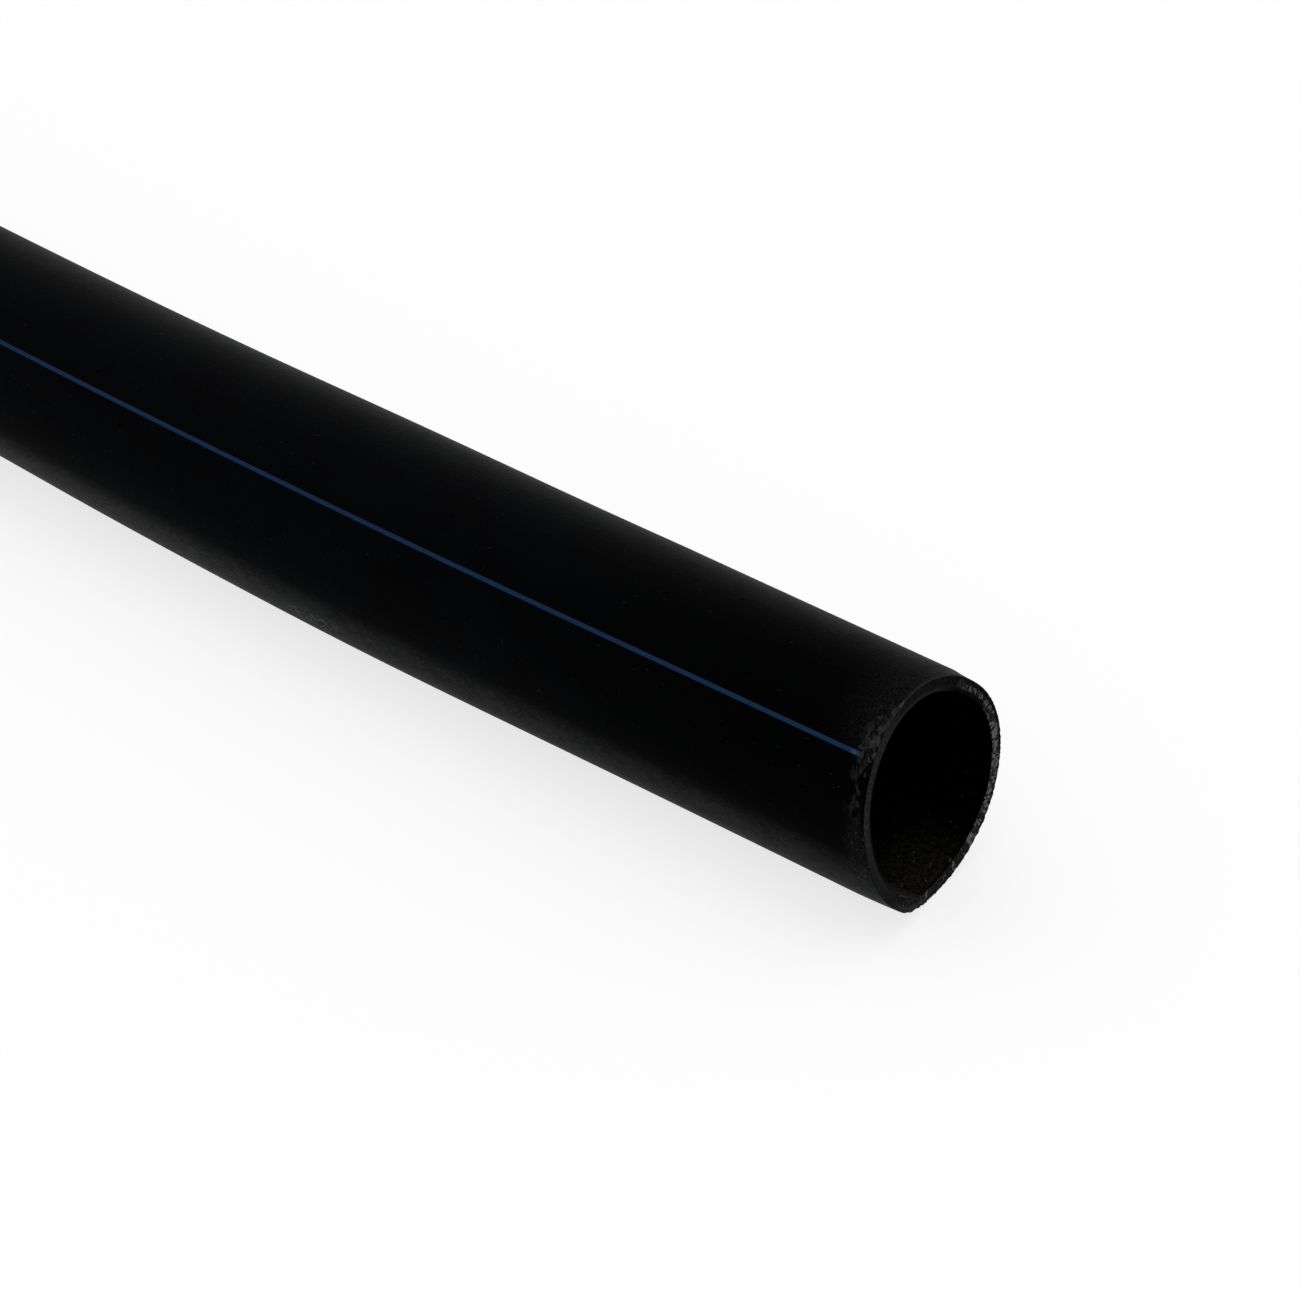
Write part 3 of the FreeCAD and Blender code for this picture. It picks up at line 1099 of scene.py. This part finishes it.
from_middle, aside, above = place_in_section(stripe_tree)
worn_share = calc(stripe_tree, "DIVIDE", given["Worn Back"], given["Length"])
whole_along = calc(stripe_tree, "MULTIPLY_ADD", given["Length"], 0.5, from_middle)
along = calc(stripe_tree, "MULTIPLY", whole_along, opposite(stripe_tree, worn_share))
sunk = calc(stripe_tree, "MULTIPLY_ADD", given["Depth"], -0.5, above)
radius = calc(stripe_tree, "ADD", calc(stripe_tree, "ADD", given["Radius"], given["Proud"]), sunk)
turn_each = calc(stripe_tree, "DIVIDE", math.tau, given["Count"])
number = kept_number(stripe_tree, "stripe_number")
angle = calc(stripe_tree, "MULTIPLY_ADD", number, turn_each, given["First Angle"])
angle = calc(stripe_tree, "ADD", angle, calc(stripe_tree, "DIVIDE", aside, given["Radius"]))
wrapped = add_node(
    stripe_tree,
    "GeometryNodeSetPosition",
    {"Geometry": bands.outputs[0], "Position": round_the_pipe(stripe_tree, along, radius, angle)},
)
turned_over = add_node(stripe_tree, "GeometryNodeFlipFaces", {"Mesh": wrapped.outputs[0]}).outputs[0]
placed = cut_and_bent(stripe_tree, turned_over, given["Length"])
stripe_tree.links.new(set_finish(stripe_tree, placed, given["Blue"]), result["Geometry"])

stripes = make_piece("blue_stripes_skin", stripe_tree, {"Blue": blue})
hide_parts("blue_stripes")
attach(stripes, "root")


# The studio: a pale floor, even daylight and one soft lamp overhead.
FLOOR_REACH = 6.0
FLOOR_WHITE_SHARE = 0.75

floor_corners = [(x * FLOOR_REACH, y * FLOOR_REACH, 0.0) for x, y in ((-1, -1), (1, -1), (1, 1), (-1, 1))]
floor_mesh = bpy.data.meshes.new("studio_floor")
floor_mesh.from_pydata(floor_corners, [], [(0, 1, 2, 3)])
floor = bpy.data.objects.new("studio_floor", floor_mesh)
bpy.context.scene.collection.objects.link(floor)
floor_paint, tree, shader = principled(
    "studio_floor",
    Base_Color=(0.9, 0.9, 0.9, 1.0),
    Roughness=0.9,
    Specular_IOR_Level=0.0,
)
seen = add_node(tree, "ShaderNodeLightPath").outputs
glow = add_node(tree, "ShaderNodeEmission", {"Color": (1.0, 1.0, 1.0, 1.0), "Strength": 1.0})
seen_in_gloss = calc(tree, "MAXIMUM", seen["Is Glossy Ray"], seen["Is Transmission Ray"])
seen_at_all = calc(tree, "MAXIMUM", seen["Is Camera Ray"], seen_in_gloss)
mixed = add_node(
    tree,
    "ShaderNodeMixShader",
    {0: calc(tree, "MULTIPLY", seen_at_all, FLOOR_WHITE_SHARE), 1: shader.outputs[0], 2: glow.outputs[0]},
)
tree.links.new(mixed.outputs[0], tree.nodes["Material Output"].inputs["Surface"])
floor_mesh.materials.append(floor_paint)
floor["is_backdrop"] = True

world = bpy.data.worlds.new("studio")
bpy.context.scene.world = world
world.use_nodes = True
world.node_tree.nodes["Background"].inputs["Color"].default_value = (1.0, 1.0, 1.0, 1.0)
world.node_tree.nodes["Background"].inputs["Strength"].default_value = 1.0

lamp = bpy.data.lights.new("overhead_softbox", "AREA")
lamp.shape = "RECTANGLE"
lamp.size = 2.0
lamp.size_y = 2.0
lamp.energy = 6.0
lamp_object = bpy.data.objects.new("overhead_softbox", lamp)
lamp_object.location = (0.2, 0.3, 2.2)
bpy.context.scene.collection.objects.link(lamp_object)


# The camera looks down at the sawn end at a slant, from a little over a metre away, and its horizon
# is level.
VIEW_ELEVATION = math.radians(29.81)
VIEW_OFF_AXIS = math.radians(42.99)
PICTURE_SIZE = 1300.0
LENS_IN_PIXELS = 4500.0
END_IN_PICTURE = (930.57, 791.0)
END_DEPTH = 1.14257

view_right = Vector((
    sawn_end_axis.x * math.cos(VIEW_OFF_AXIS) - sawn_end_axis.y * math.sin(VIEW_OFF_AXIS),
    sawn_end_axis.x * math.sin(VIEW_OFF_AXIS) + sawn_end_axis.y * math.cos(VIEW_OFF_AXIS),
    0.0,
))
view_level = Vector((-view_right.y, view_right.x, 0.0))
view_up = view_level * math.sin(VIEW_ELEVATION) + Vector((0.0, 0.0, math.cos(VIEW_ELEVATION)))
view_back = view_right.cross(view_up)
end_right = (END_IN_PICTURE[0] - PICTURE_SIZE / 2) / LENS_IN_PIXELS * END_DEPTH
end_up = (PICTURE_SIZE / 2 - END_IN_PICTURE[1]) / LENS_IN_PIXELS * END_DEPTH

camera = bpy.data.cameras.new("camera")
camera.sensor_width = 36.0
camera.lens = LENS_IN_PIXELS / PICTURE_SIZE * camera.sensor_width
camera.clip_end = 50.0
camera_object = bpy.data.objects.new("camera", camera)
camera_object.location = sawn_end - view_right * end_right - view_up * end_up + view_back * END_DEPTH
camera_object.rotation_euler = view_back.to_track_quat("Z", "Y").to_euler()
bpy.context.scene.collection.objects.link(camera_object)
bpy.context.scene.camera = camera_object

bpy.context.scene.view_settings.view_transform = "Standard"

low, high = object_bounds()
